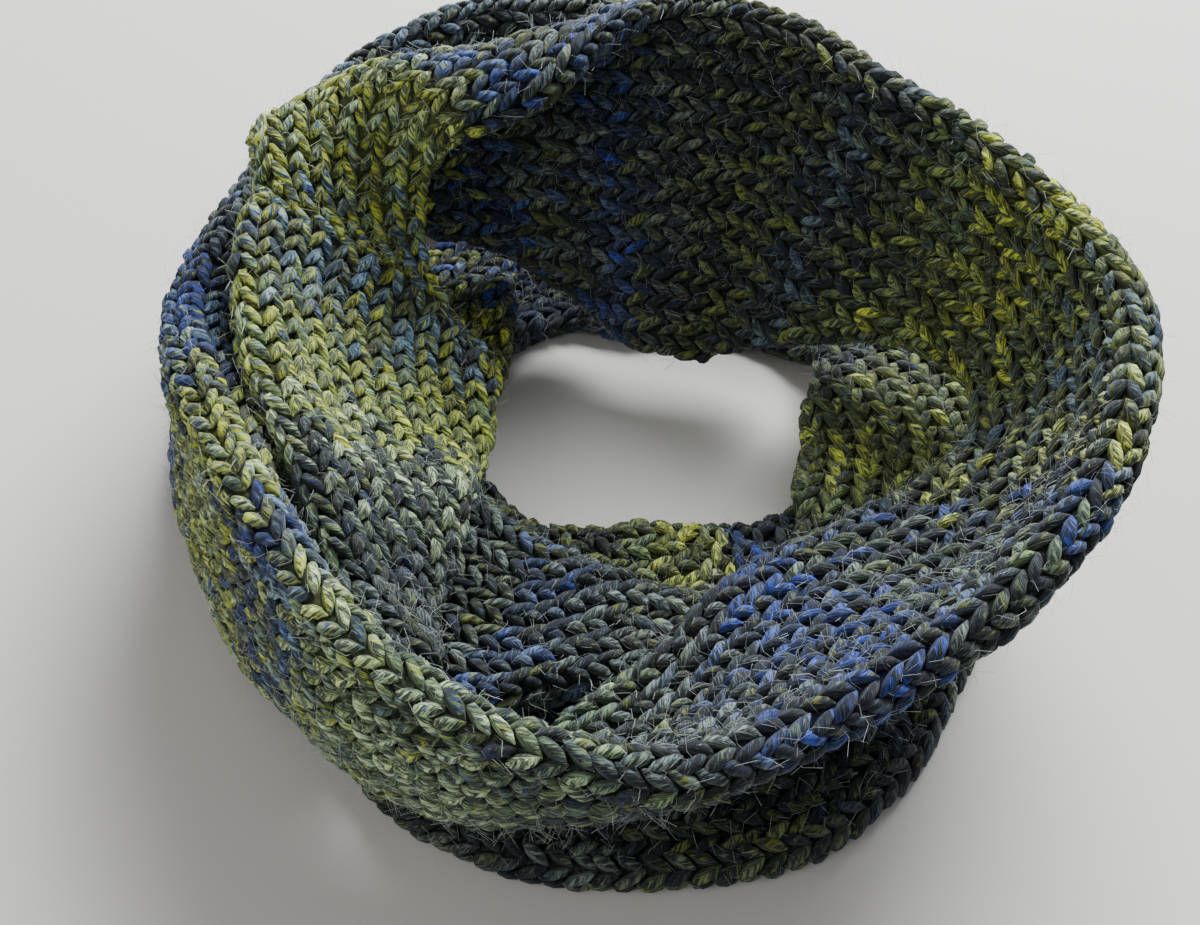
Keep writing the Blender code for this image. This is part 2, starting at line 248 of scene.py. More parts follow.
def outline(width, body, edge, faces, roundPoints, fromTip):
    # closed outline of the pressed tube, starting at the crown of one folded edge
    halfEdge = edge / 2
    flat = width / 2 - halfEdge
    places = np.linspace(-flat, flat, faces + 1)
    depth = body / 2 + (halfEdge - body / 2) * ease(np.abs(places) / flat) ** form["edgePower"]
    angles = np.pi * np.arange(1, roundPoints + 1) / (roundPoints + 1)
    points = list(zip(places, depth))
    tipCrown = len(points) + roundPoints // 2
    points += [(flat + halfEdge * np.sin(a), halfEdge * np.cos(a)) for a in angles]
    points += list(zip(places[::-1], -depth[::-1]))
    footCrown = len(points) + roundPoints // 2
    points += [(-flat - halfEdge * np.sin(a), -halfEdge * np.cos(a)) for a in angles]
    return np.roll(np.array(points), -(tipCrown if fromTip else footCrown), axis=0)


# Soft troughs and ridges in the cloth: turn, share of the width, length along the band in degrees,
# width across it in millimetres, height (outward or upward) in millimetres, slant.
creases = (
    (404, 0.55, 9, 16, -1.6, 0.25),
    (418, 0.35, 7, 14, 1.4, -0.2),
    (436, 0.60, 6, 18, -1.7, 0.15),
    (449, 0.35, 6, 15, 1.3, 0.2),
    (463, 0.60, 6, 14, -1.2, 0.1),
    (352, 0.35, 10, 12, -1.3, 0.3),
    (372, 0.60, 8, 12, 1.2, -0.2),
    (292, 0.45, 10, 14, -1.6, 0.25),
    (312, 0.60, 9, 13, 1.3, -0.2),
    (330, 0.35, 9, 12, -1.3, 0.2),
    (205, 0.35, 8, 12, 1.0, 0.2),
    (236, 0.45, 7, 12, -1.2, -0.2),
    (541, 0.35, 5, 12, -1.3, 0.1),
    (553, 0.62, 5, 12, 1.2, 0.15),
    (566, 0.35, 5, 10, -1.1, 0.1),
    (130, 0.5, 10, 14, 1.0, 0.2),
    (158, 0.4, 9, 12, -1.0, -0.2),
    (600, 0.5, 9, 10, 0.8, 0.1),
    (695, 0.5, 12, 12, -0.9, 0.2),
    (720, 0.45, 8, 10, 0.9, 0.1),
    (1150, 0.5, 9, 14, -1.2, 0.2),
    (1172, 0.4, 8, 13, 1.1, -0.2),
)


def crease(turn, place, width):
    # how far the folds and the general unevenness move the band off its middle line
    depth = sum(
        high * np.sin(turn * along + place * across + start) for high, along, across, start in form["waves"]
    )
    for at, share, length, across, deep, slant in creases:
        if abs(turn - at) > form["creaseReach"] * length:
            continue
        off = (place - share * width) / across
        run = (turn - at - slant * (place - share * width)) / length
        depth = depth + deep * np.exp(-off * off - run * run)
    return depth


def sectionRing(table, turn, inset, fromTip=True, faces=36, roundPoints=7):
    # one section in space, starting at the folded edge that the columns of stitches follow
    section = readRow(table, turn)
    width = section["width"]
    across, radius, height, lean = middleLine(section)
    body = section["body"] - 2 * inset
    shape = outline(width - 2 * inset, body, body + form["edgeExtra"], faces, roundPoints, fromTip)
    place = shape[:, 0] + width / 2
    turned = np.interp(place, across, lean)
    off = shape[:, 1] + crease(turn, place, width)
    ringRadius = np.interp(place, across, radius) + np.cos(turned) * off
    ringHeight = np.interp(place, across, height) - np.sin(turned) * off
    ringHeight = np.maximum(ringHeight, inset)
    angle = np.radians(turn + section["skew"] * np.clip(place / width, 0, 1))
    return np.column_stack([
        form["middleX"] + ringRadius * np.cos(angle),
        form["middleY"] + ringRadius * np.sin(angle),
        ringHeight,
    ])


def travelOf(ring):
    # the section closed, and the way travelled round it
    closed = np.vstack([ring, ring[:1]])
    return closed, np.concatenate([[0], np.cumsum(np.linalg.norm(np.diff(closed, axis=0), axis=1))])


# Colours of the yarn, as red, green and blue of the light that it gives back.
yarnColours = {
    "lime": (0.60, 0.68, 0.055),
    "olive": (0.15, 0.18, 0.030),
    "blue": (0.018, 0.055, 0.36),
    "dusk": (0.026, 0.042, 0.095),
    "pale": (0.48, 0.62, 0.34),
    "mist": (0.20, 0.32, 0.44),
    "sage": (0.16, 0.24, 0.10),
    "ash": (0.15, 0.19, 0.17),
    "steel": (0.10, 0.17, 0.27),
    "charcoal": (0.014, 0.017, 0.018),
    "slate": (0.040, 0.050, 0.060),
}

# The yarn along the band: turn, main colour, second ply, share of the second ply.
upperYarn = (
    (98, "charcoal", "ash", 0.40),
    (140, "charcoal", "steel", 0.45),
    (158, "charcoal", "ash", 0.40),
    (172, "charcoal", "blue", 0.45),
    (181, "blue", "steel", 0.40),
    (190, "blue", "mist", 0.40),
    (197, "dusk", "lime", 0.48),
    (206, "lime", "sage", 0.45),
    (213, "lime", "pale", 0.40),
    (219, "dusk", "lime", 0.50),
    (223, "blue", "dusk", 0.45),
    (228, "dusk", "mist", 0.48),
    (234, "pale", "lime", 0.42),
    (244, "sage", "pale", 0.55),
    (254, "sage", "pale", 0.48),
    (262, "slate", "sage", 0.48),
    (268, "charcoal", "ash", 0.38),
    (277, "charcoal", "ash", 0.34),
    (285, "charcoal", "blue", 0.42),
    (296, "charcoal", "blue", 0.42),
    (303, "charcoal", "ash", 0.32),
    (312, "charcoal", "sage", 0.34),
    (320, "charcoal", "blue", 0.36),
    (329, "charcoal", "lime", 0.38),
    (338, "olive", "steel", 0.42),
    (348, "olive", "sage", 0.50),
    (358, "sage", "lime", 0.52),
    (368, "olive", "lime", 0.50),
    (380, "olive", "sage", 0.45),
    (390, "charcoal", "olive", 0.50),
    (400, "charcoal", "steel", 0.42),
    (408, "charcoal", "olive", 0.45),
    (428, "charcoal", "olive", 0.40),
    (440, "charcoal", "ash", 0.40),
    (450, "dusk", "olive", 0.42),
    (460, "dusk", "blue", 0.42),
    (468, "charcoal", "ash", 0.45),
    (480, "olive", "ash", 0.45),
    (486, "dusk", "blue", 0.50),
    (494, "dusk", "steel", 0.50),
    (501, "sage", "lime", 0.50),
    (510, "lime", "pale", 0.35),
    (524, "lime", "sage", 0.35),
    (532, "lime", "mist", 0.38),
    (538, "dusk", "mist", 0.48),
    (544, "lime", "sage", 0.45),
    (554, "lime", "sage", 0.45),
    (562, "sage", "lime", 0.45),
    (569, "slate", "pale", 0.46),
    (577, "charcoal", "pale", 0.40),
    (584, "charcoal", "sage", 0.45),
    (592, "charcoal", "ash", 0.42),
    (604, "charcoal", "slate", 0.45),
)
lowerYarn = (
    (568, "charcoal", "ash", 0.38),
    (590, "charcoal", "ash", 0.40),
    (601, "charcoal", "olive", 0.40),
    (606, "dusk", "blue", 0.38),
    (614, "charcoal", "ash", 0.40),
    (632, "charcoal", "ash", 0.38),
    (645, "charcoal", "olive", 0.48),
    (664, "charcoal", "olive", 0.50),
    (690, "olive", "sage", 0.42),
    (712, "olive", "lime", 0.36),
    (728, "olive", "sage", 0.42),
    (740, "charcoal", "olive", 0.45),
    (780, "charcoal", "dusk", 0.40),
    (800, "dusk", "blue", 0.40),
    (820, "charcoal", "dusk", 0.45),
    (850, "charcoal", "dusk", 0.40),
    (955, "charcoal", "olive", 0.45),
    (978, "charcoal", "olive", 0.45),
    (986, "olive", "sage", 0.42),
    (997, "olive", "lime", 0.45),
    (1014, "olive", "lime", 0.45),
    (1021, "charcoal", "blue", 0.50),
    (1032, "charcoal", "dusk", 0.40),
    (1050, "charcoal", "olive", 0.40),
    (1100, "charcoal", "slate", 0.45),
    (1128, "charcoal", "olive", 0.45),
    (1150, "olive", "charcoal", 0.45),
    (1165, "charcoal", "olive", 0.42),
    (1180, "charcoal", "ash", 0.42),
    (1192, "charcoal", "ash", 0.40),
)
underYarn = (
    (474, "charcoal", "dusk", 0.45),
    (492, "olive", "blue", 0.45),
    (500, "olive", "lime", 0.45),
    (512, "olive", "lime", 0.50),
    (536, "lime", "olive", 0.45),
)
# the outer strip of the lowest turn, as far in as this many millimetres, mostly charcoal: partly the yarn's
# own colour, partly painted shade on the front side that faces away from the window
outerStrip = 44.0
outerYarnAndShade = (
    (930, "charcoal", "slate", 0.40),
    (955, "charcoal", "olive", 0.45),
    (980, "charcoal", "ash", 0.42),
    (1000, "charcoal", "olive", 0.45),
    (1016, "charcoal", "slate", 0.45),
    (1040, "charcoal", "ash", 0.38),
    (1070, "charcoal", "olive", 0.38),
)


def readYarn(rows, turns):
    at = [row[0] for row in rows]
    main = np.array([yarnColours[row[1]] for row in rows])
    second = np.array([yarnColours[row[2]] for row in rows])
    return np.column_stack(
        [np.interp(turns, at, main[:, c]) for c in range(3)]
        + [np.interp(turns, at, second[:, c]) for c in range(3)]
        + [np.interp(turns, at, [row[3] for row in rows])]
    )


def yarnAt(table, turns, places):
    # main and second colour and the share of the second, between the rows of the colour table
    turns = np.asarray(turns, float)
    rows = upperYarn if table is upperRows else underYarn if table is underRows else lowerYarn
    found = readYarn(rows, turns)
    if table is lowerRows:
        # the outer strip at the front gets its own darker colours, partly painted shade
        outside = (np.abs(places) < outerStrip) & (turns > outerYarnAndShade[0][0]) & (turns < outerYarnAndShade[-1][0])
        found = np.where(outside[:, None], readYarn(outerYarnAndShade, turns), found)
    return found[:, 0:3], found[:, 3:6], found[:, 6]


woolShader = {
    "Roughness": 0.85,
    "Sheen Weight": 0.12,
    "Sheen Roughness": 0.45,
    "Sheen Tint": (0.85, 0.90, 1.0),
    "Specular IOR Level": 0.25,
}
fuzzShader = {"Roughness": 0.7, "Sheen Weight": 0.6}
woolLook = {
    "bumpStrength": 0.9,
    "bumpHeight": 0.30,      # mm
    "plies": 3.0,
    "plyBump": 0.45,
    "fineBump": 2.0,
    "twist": 0.100,          # turns of the yarn in a millimetre
    "shareWeight": 0.40,     # how much the share of the second colour counts
    "legVariety": 0.42,      # how much the legs differ in their share
    "legShift": 53.0,        # moves each leg to another part of the noise
    "secondFrom": (0.47, 0.53),   # where the noise starts and ends to give the second colour
    "deepColour": (0.010, 0.013, 0.018),
    # pale fibres, partly the yarn's own and partly painted highlight on the raised fibres
    "paleColour": (0.46, 0.54, 0.46),
    "paleTint": 0.30,
    # painted shade in the gaps between the fibres
    "gapShadeColour": (0.008, 0.010, 0.014),
}
# Fibre noise: features in a millimetre along the yarn and once round it, place in the noise, detail.
fibreNoise = {
    "streak": (0.34, 7.0, 0.0, 3.0),
    "strand": (0.30, 7.0, 19.0, 3.0),
    "fleck": (0.42, 6.0, 41.0, 2.0),
    "fine": (0.50, 34.0, 7.0, 3.0),
}
# What covers the two main colours: its noise, where that starts and is whole, how much it covers.
covers = {
    "third": ("fleck", 0.56, 0.61, 0.80),
    "deep": ("strand", 0.53, 0.46, 0.86),
    # pale: on the highest places of the fine relief, partly the yarn's pale fibres and partly painted
    # highlight
    "pale": ("fine", 0.56, 0.64, 0.42),
    # gap: painted shade between the fibres, on the lowest places of the fine relief
    "gap": ("fine", 0.48, 0.39, 0.80),
}
groundLook = {
    "streaks": 900.0,        # in a metre
    "fineStreaks": 2600.0,
    "fineShare": 0.5,
    "secondFrom": (0.42, 0.60),
    # painted shade between the stitches: how far the cloth's colours are darkened, and the near-black they
    # go towards
    "shadeDarkness": 0.86,
    "shadeColour": (0.008, 0.010, 0.012),
}
fuzzLook = {"paleness": 0.60, "paleColour": (0.62, 0.70, 0.68)}


def feed(tree, socket, value):
    # a number or colour goes in as the socket's own value, an output as a link
    if isinstance(value, (int, float)):
        socket.default_value = value
    elif isinstance(value, tuple):
        socket.default_value = (*value, 1.0)
    else:
        tree.links.new(value, socket)


def addNode(tree, kind, inputs):
    node = tree.nodes.new(kind)
    for name, value in inputs.items():
        feed(tree, node.inputs[name], value)
    return node


def mathNode(tree, operation, *values):
    node = addNode(tree, "ShaderNodeMath", dict(enumerate(values)))
    node.operation = operation
    return node.outputs[0]


def combine(tree, x, y, z):
    return addNode(tree, "ShaderNodeCombineXYZ", {"X": x, "Y": y, "Z": z}).outputs[0]


def mixColour(tree, factor, first, second):
    node = tree.nodes.new("ShaderNodeMix")
    node.data_type = "RGBA"
    for socket, value in (("Factor", factor), (6, first), (7, second)):
        feed(tree, node.inputs[socket], value)
    return node.outputs[2]


def attributeNode(tree, name, output):
    node = tree.nodes.new("ShaderNodeAttribute")
    node.attribute_type = "GEOMETRY"
    node.attribute_name = name
    return node.outputs[output]


def noiseNode(tree, vector, scale, detail):
    inputs = {"Vector": vector, "Scale": scale, "Detail": detail, "Roughness": 0.6}
    return addNode(tree, "ShaderNodeTexNoise", inputs).outputs["Fac"]


def rampNode(tree, factor, low, high):
    node = addNode(tree, "ShaderNodeMapRange", {"Value": factor, "From Min": low, "From Max": high})
    node.interpolation_type = "SMOOTHSTEP"
    return node.outputs["Result"]


def plainMaterial(name, values):
    # a material whose shader has these values
    material = bpy.data.materials.new(name)
    material.use_nodes = True
    tree = material.node_tree
    shader = tree.nodes["Principled BSDF"]
    for socket, value in values.items():
        feed(tree, shader.inputs[socket], value)
    return material, tree, shader


def knitMaterial(name, paint):
    # the shader that yarn and ground cloth share; paint gives its colour and height
    material, tree, shader = plainMaterial(name, woolShader)
    main = attributeNode(tree, "mainYarn", "Color")
    second = attributeNode(tree, "secondYarn", "Color")
    colour, height = paint(tree, main, second)
    bump = addNode(tree, "ShaderNodeBump", {
        "Strength": woolLook["bumpStrength"], "Distance": woolLook["bumpHeight"] * mm, "Height": height,
    })
    feed(tree, shader.inputs["Base Color"], colour)
    feed(tree, shader.inputs["Normal"], bump.outputs["Normal"])
    return material


def groundPaint(tree, main, second):
    # the cloth between the stitches, its yarn colours darkened nearly to black as painted shade between
    # them
    place = tree.nodes.new("ShaderNodeTexCoord").outputs["Object"]
    streak = noiseNode(tree, place, groundLook["streaks"], 3.0)
    fine = noiseNode(tree, place, groundLook["fineStreaks"], 2.0)
    colour = mixColour(tree, rampNode(tree, streak, *groundLook["secondFrom"]), main, second)
    # painted shade: the cloth between the stitches darkened nearly to black
    colour = mixColour(tree, groundLook["shadeDarkness"], colour, groundLook["shadeColour"])
    return colour, mathNode(tree, "ADD", streak, mathNode(tree, "MULTIPLY", fine, groundLook["fineShare"]))


def yarnPaint(tree, main, second):
    # heathered wool: plies twisted together, with streaks of fibre along the yarn; painted shade darkens
    # the gaps between the fibres, and the pale fibres on the raised ones are partly the yarn's own and
    # partly painted highlight
    def maths(operation, *values):
        return mathNode(tree, operation, *values)

    def offMiddle(value, weight):
        return maths("MULTIPLY", maths("SUBTRACT", value, 0.5), woolLook[weight])

    chance = attributeNode(tree, "chance", "Fac")
    along = attributeNode(tree, "alongYarn", "Fac")
    around = attributeNode(tree, "aroundYarn", "Fac")
    # fibres lean across the yarn as the plies turn round it
    twisted = maths("ADD", around, maths("MULTIPLY", along, woolLook["twist"]))
    shift = maths("MULTIPLY", chance, woolLook["legShift"])
    noise = {}
    for name, (stretch, across, place, detail) in fibreNoise.items():
        x = maths("MULTIPLY_ADD", along, stretch, place)
        y = maths("MULTIPLY_ADD", twisted, across, place)
        noise[name] = noiseNode(tree, combine(tree, x, y, shift), 1.0, detail)
    share = attributeNode(tree, "secondShare", "Fac")
    pick = maths("ADD", noise["streak"], offMiddle(share, "shareWeight"))
    pick = maths("ADD", pick, offMiddle(chance, "legVariety"))
    colour = mixColour(tree, rampNode(tree, pick, *woolLook["secondFrom"]), main, second)
    over = {
        "third": attributeNode(tree, "thirdYarn", "Color"),
        "deep": woolLook["deepColour"],
        # pale fibres, partly painted highlight on the raised fibres
        "pale": mixColour(tree, woolLook["paleTint"], second, woolLook["paleColour"]),
        # painted shade in the gaps between the fibres
        "gap": woolLook["gapShadeColour"],
    }
    for name, (which, low, high, amount) in covers.items():
        covered = maths("MULTIPLY", rampNode(tree, noise[which], low, high), amount)
        colour = mixColour(tree, covered, colour, over[name])
    ply = maths("SINE", maths("MULTIPLY", twisted, 2.0 * math.pi * woolLook["plies"]))
    fine = maths("MULTIPLY", noise["fine"], woolLook["fineBump"])
    return colour, maths("ADD", maths("MULTIPLY", ply, woolLook["plyBump"]), fine)


def fuzzMaterial(name):
    material, tree, shader = plainMaterial(name, fuzzShader)
    main = attributeNode(tree, "mainYarn", "Color")
    colour = mixColour(tree, fuzzLook["paleness"], main, fuzzLook["paleColour"])
    feed(tree, shader.inputs["Base Color"], colour)
    return material


slotNames = ("blue_grey", "grey_green", "charcoal", "olive_lime", "lime")
woolOf = {name: knitMaterial("wool_" + name, yarnPaint) for name in slotNames}
clothOf = {name: knitMaterial("cloth_" + name, groundPaint) for name in slotNames}
fuzzWool = fuzzMaterial("wool_fuzz")
print("yarn materials ready")


# One leg of a knit stitch, in metres, and how finely it is made.
legForm = {
    "Leg Length": 0.0080,
    "Leg Width": 0.0034,
    "Leg Rise": 0.0013,
    "Leg Bow": 0.0007,
    "End Width": 0.18,
    "Steps": 4,
    "Sides": 5,
}
# Stray fibres, in metres and per square metre. None starts below the lowest height.
fibreForm = {
    "Fibres Per Area": 122000.0,
    "Fibre Length": 0.0046,
    "Fibre Width": 0.00006,
    "Lift": 0.0030,
    "Lowest": 0.004,
    "Seed": 7,
}
fullness = 0.65          # below 1, a leg of yarn gets thick soon after its ends
fibreTilt = ((-0.25, -0.45, 0.0), (0.25, 0.25, 2 * math.pi))   # least and most, in radians
fibreSize = (0.5, 1.5)   # least and most, as a share of the length
fibrePoints = 3
lowestPoint = 0.0002     # nothing goes into the table


def newTree(name, values):
    # a node group with a named input for each value and one for the wool
    tree = bpy.data.node_groups.new(name, "GeometryNodeTree")
    tree.interface.new_socket("Geometry", in_out="INPUT", socket_type="NodeSocketGeometry")
    tree.interface.new_socket("Geometry", in_out="OUTPUT", socket_type="NodeSocketGeometry")
    for key, value in values.items():
        kind = "NodeSocketInt" if isinstance(value, int) else "NodeSocketFloat"
        tree.interface.new_socket(key, in_out="INPUT", socket_type=kind).default_value = value
    tree.interface.new_socket("Wool", in_out="INPUT", socket_type="NodeSocketMaterial")
    return tree, tree.nodes.new("NodeGroupInput").outputs


def namedValue(tree, name, kind):
    node = tree.nodes.new("GeometryNodeInputNamedAttribute")
    node.data_type = kind
    node.inputs["Name"].default_value = name
    return node.outputs[0]


def storeFloat(tree, geometry, name, value):
    node = addNode(tree, "GeometryNodeStoreNamedAttribute", {"Geometry": geometry})
    node.data_type = "FLOAT"
    node.domain = "POINT"
    node.inputs["Name"].default_value = name
    feed(tree, node.inputs["Value"], value)
    return node.outputs[0]


def placeOnPoints(tree, points, instance, rotation, scale, wool):
    # an instance on every point, made real, in its wool
    place = addNode(tree, "GeometryNodeInstanceOnPoints", {
        "Points": points, "Instance": instance, "Rotation": rotation, "Scale": scale,
    })
    real = addNode(tree, "GeometryNodeRealizeInstances", {0: place.outputs[0]})
    paint = addNode(tree, "GeometryNodeSetMaterial", {"Geometry": real.outputs[0], "Material": wool})
    addNode(tree, "NodeGroupOutput", {0: paint.outputs[0]})


def buildStitchTree():
    # one leg of a knit stitch on every guide point
    tree, given = newTree("stitchLegs", legForm)

    def maths(operation, *values):
        return mathNode(tree, operation, *values)

    half = maths("MULTIPLY", given["Leg Length"], 0.5)
    dip = maths("MULTIPLY", given["Leg Rise"], -0.6)
    line = addNode(tree, "GeometryNodeCurveQuadraticBezier", {
        "Resolution": given["Steps"],
        "Start": combine(tree, maths("MULTIPLY", half, -1.0), 0.0, dip),
        "Middle": combine(tree, 0.0, given["Leg Bow"], given["Leg Rise"]),
        "End": combine(tree, half, 0.0, dip),
    })
    spline = tree.nodes.new("GeometryNodeSplineParameter").outputs
    part = spline["Factor"]
    hump = maths("MULTIPLY", maths("MULTIPLY", part, maths("SUBTRACT", 1.0, part)), 4.0)
    rest = maths("SUBTRACT", 1.0, given["End Width"])
    full = maths("MULTIPLY", maths("POWER", hump, fullness), rest)
    radius = maths("ADD", full, given["End Width"])
    radius = maths("MULTIPLY", radius, maths("MULTIPLY", given["Leg Width"], 0.5 / mm))
    curve = storeFloat(tree, line.outputs[0], "alongYarn", maths("MULTIPLY", spline["Length"], 1.0 / mm))
    circle = addNode(tree, "GeometryNodeCurvePrimitiveCircle", {"Resolution": given["Sides"], "Radius": mm})
    ringPart = tree.nodes.new("GeometryNodeSplineParameter").outputs["Factor"]
    profile = storeFloat(tree, circle.outputs[0], "aroundYarn", ringPart)
    skin = addNode(tree, "GeometryNodeCurveToMesh", {
        "Curve": curve, "Profile Curve": profile, "Scale": radius, "Fill Caps": True,
    })
    smooth = addNode(tree, "GeometryNodeSetShadeSmooth", {0: skin.outputs[0]})
    turned = addNode(tree, "FunctionNodeEulerToRotation", {0: namedValue(tree, "legTurn", "FLOAT_VECTOR")})
    size = namedValue(tree, "legSize", "FLOAT_VECTOR")
    placeOnPoints(tree, given["Geometry"], smooth.outputs[0], turned.outputs[0], size, given["Wool"])
    return tree


def buildFibreTree():
    # stray fibres, scattered over the outer face of the cloth and lying nearly flat on it
    tree, given = newTree("strayFibres", fibreForm)
    position = tree.nodes.new("GeometryNodeInputPosition").outputs[0]
    height = addNode(tree, "ShaderNodeSeparateXYZ", {0: position}).outputs["Z"]
    above = tree.nodes.new("FunctionNodeCompare")
    above.data_type = "FLOAT"
    above.operation = "GREATER_THAN"
    feed(tree, above.inputs["A"], height)
    feed(tree, above.inputs["B"], given["Lowest"])
    grows = mathNode(tree, "MULTIPLY", above.outputs[0], namedValue(tree, "outerFace", "FLOAT"))
    scatter = addNode(tree, "GeometryNodeDistributePointsOnFaces", {
        "Mesh": given["Geometry"], "Seed": given["Seed"],
        "Density": mathNode(tree, "MULTIPLY", grows, given["Fibres Per Area"]),
    })
    bow = mathNode(tree, "MULTIPLY", given["Fibre Length"], 0.45)
    line = addNode(tree, "GeometryNodeCurveQuadraticBezier", {
        "Resolution": 8,
        "Middle": combine(tree, bow, bow, given["Lift"]),
        "End": combine(tree, given["Fibre Length"], 0.0, given["Lift"]),
    })
    line.inputs["Start"].default_value = (0.0, 0.0, 0.0)
    coarse = addNode(tree, "GeometryNodeResampleCurve", {"Curve": line.outputs[0], "Count": fibrePoints})
    coarse.mode = "COUNT"
    profile = addNode(tree, "GeometryNodeCurvePrimitiveCircle", {
        "Resolution": 3, "Radius": mathNode(tree, "MULTIPLY", given["Fibre Width"], 0.5),
    })
    skin = addNode(tree, "GeometryNodeCurveToMesh", {
        "Curve": coarse.outputs[0], "Profile Curve": profile.outputs[0], "Fill Caps": True,
    })
    tilt = addNode(tree, "FunctionNodeRandomValue", {"Seed": given["Seed"]})
    tilt.data_type = "FLOAT_VECTOR"
    tilt.inputs["Min"].default_value, tilt.inputs["Max"].default_value = fibreTilt
    tilted = addNode(tree, "FunctionNodeEulerToRotation", {0: tilt.outputs[0]})
    turned = addNode(tree, "FunctionNodeRotateRotation", {
        "Rotation": scatter.outputs["Rotation"], "Rotate By": tilted.outputs[0],
    })
    turned.rotation_space = "LOCAL"
    size = addNode(tree, "FunctionNodeRandomValue", {"Seed": given["Seed"]})
    size.data_type = "FLOAT"
    size.inputs[2].default_value, size.inputs[3].default_value = fibreSize
    points = scatter.outputs["Points"]
    placeOnPoints(tree, points, skin.outputs[0], turned.outputs[0], size.outputs[1], given["Wool"])
    return tree


stitchTree = buildStitchTree()
fibreTree = buildFibreTree()


def growOn(name, source, tree, values):
    # runs the tree on the source's mesh and keeps the result as a plain mesh
    guide = bpy.data.objects.new(name + "_guide", source)
    bpy.context.scene.collection.objects.link(guide)
    modifier = guide.modifiers.new("grow", "NODES")
    modifier.node_group = tree
    sockets = {s.name: s.identifier for s in tree.interface.items_tree if s.in_out == "INPUT"}
    for key, value in values.items():
        modifier[sockets[key]] = value
    evaluated = guide.evaluated_get(bpy.context.evaluated_depsgraph_get())
    data = bpy.data.meshes.new_from_object(evaluated)
    guide.modifiers.remove(modifier)
    bpy.data.objects.remove(guide)
    data.name = name
    points = np.empty(len(data.vertices) * 3, np.float32)
    data.vertices.foreach_get("co", points)
    points[2::3] = np.maximum(points[2::3], lowestPoint)
    data.vertices.foreach_set("co", points)
    grown = bpy.data.objects.new(name, data)
    bpy.context.scene.collection.objects.link(grown)
    return grown


# The knit, in millimetres. Depths are under the surface of the solid.
knit = {
    "stitchWidth": 7.7,      # across the band
    "rowHeight": 5.7,        # along the band
    "legInset": 1.35,        # depth of the middle of the yarn
    "clothTop": 2.6,         # depth of the ground cloth's outer face
    "clothBottom": 3.5,      # and of its inner face
    "clothStep": 5.0,        # between the sections of the ground cloth
    "clothEnd": 0.05,        # degrees that it stops short of each end
    "clothFaces": 14,
    "clothRound": 3,
    "legReach": 1.15,        # along the band, in rows
    "legSpread": 0.50,       # of a leg's back end across the band, in columns
    "frontSpread": 0.04,     # of its front end
    "middleSpread": 0.26,
    "fullLeg": 7.0,          # reach of a leg at its own size
    "legStretch": (0.55, 1.25),
    "rowStretch": (0.75, 1.15),
    "edgeRoom": 0.2,         # how far a column may pass the far edge, in columns
    "gridMargin": 1.5,       # degrees that the surface is worked out beyond each end
    "slopeStep": 0.6,        # degrees over which a row's direction is taken
    "tableGap": 0.1,
    "seed": 5,
}
# How much stitches differ from one another.
unevenKnit = {
    "spread": 0.03,          # columns
    "place": 0.25,           # mm
    "tilt": 0.25,
    "width": (0.90, 1.12),
    "depth": (0.82, 0.96),
    "colourAlong": 4.6,      # degrees that colours stray along the band
    "colourAcross": 2.0,     # mm that they stray across it
    "brightness": 1.0,
    "chances": (7.13, 0.31),  # give the two legs of a stitch chances of their own
    # colours of the third ply and their shares of the stitches
    "flecks": (("lime", 0.34), ("mist", 0.30), ("blue", 0.22), ("pale", 0.14)),
    "fleckBase": 0.28,       # brightness of the flecks in black yarn
    "fleckRise": 2.0,        # how much more they have in pale yarn
}


attributeField = {"FLOAT": "value", "FLOAT_VECTOR": "vector", "FLOAT_COLOR": "color"}


def storeValues(mesh, kind, **layers):
    # own attributes of the mesh, one value for each point; colours get an alpha of 1
    for name, values in layers.items():
        values = np.asarray(values, float)
        if kind == "FLOAT_COLOR":
            values = np.column_stack([values, np.ones(len(values))])
        layer = mesh.attributes.new(name, kind, "POINT")
        layer.data.foreach_set(attributeField[kind], values.astype(np.float32).ravel())


def wayAlong(points):
    return np.concatenate([[0], np.cumsum(np.linalg.norm(np.diff(points, axis=0), axis=1))])


def unit(vectors):
    return vectors / np.linalg.norm(vectors, axis=1)[:, None]


def bandGrid(table, start, end, inset, fromTip, step):
    # the surface of the band: places at every turn and at every millimetre round it
    turns = np.linspace(start, end, max(4, int(round((end - start) / step))) + 1)
    loops = [travelOf(sectionRing(table, turn, inset, fromTip)) for turn in turns]
    around = np.array([travel[-1] for _, travel in loops])
    most = math.ceil(float(around.max()) / 2) + 2
    places = np.arange(-most, most + 1, 1.0)
    grid = np.empty((len(turns), len(places), 3))
    for row, (closed, travel) in enumerate(loops):
        at = np.mod(places, travel[-1])
        for axis in range(3):
            grid[row, :, axis] = np.interp(at, travel, closed[:, axis])
    return turns, places, grid, around


def onGrid(turns, places, grid, turn, place):
    # points of the surface between the grid's own
    u = np.clip((np.asarray(turn) - turns[0]) / (turns[1] - turns[0]), 0, len(turns) - 1.001)
    v = np.clip((np.asarray(place) - places[0]) / (places[1] - places[0]), 0, len(places) - 1.001)
    i, j = u.astype(int), v.astype(int)
    fu, fv = (u - i)[:, None], (v - j)[:, None]
    near = grid[i, j] * (1 - fv) + grid[i, j + 1] * fv
    far = grid[i + 1, j] * (1 - fv) + grid[i + 1, j + 1] * fv
    return near * (1 - fu) + far * fu


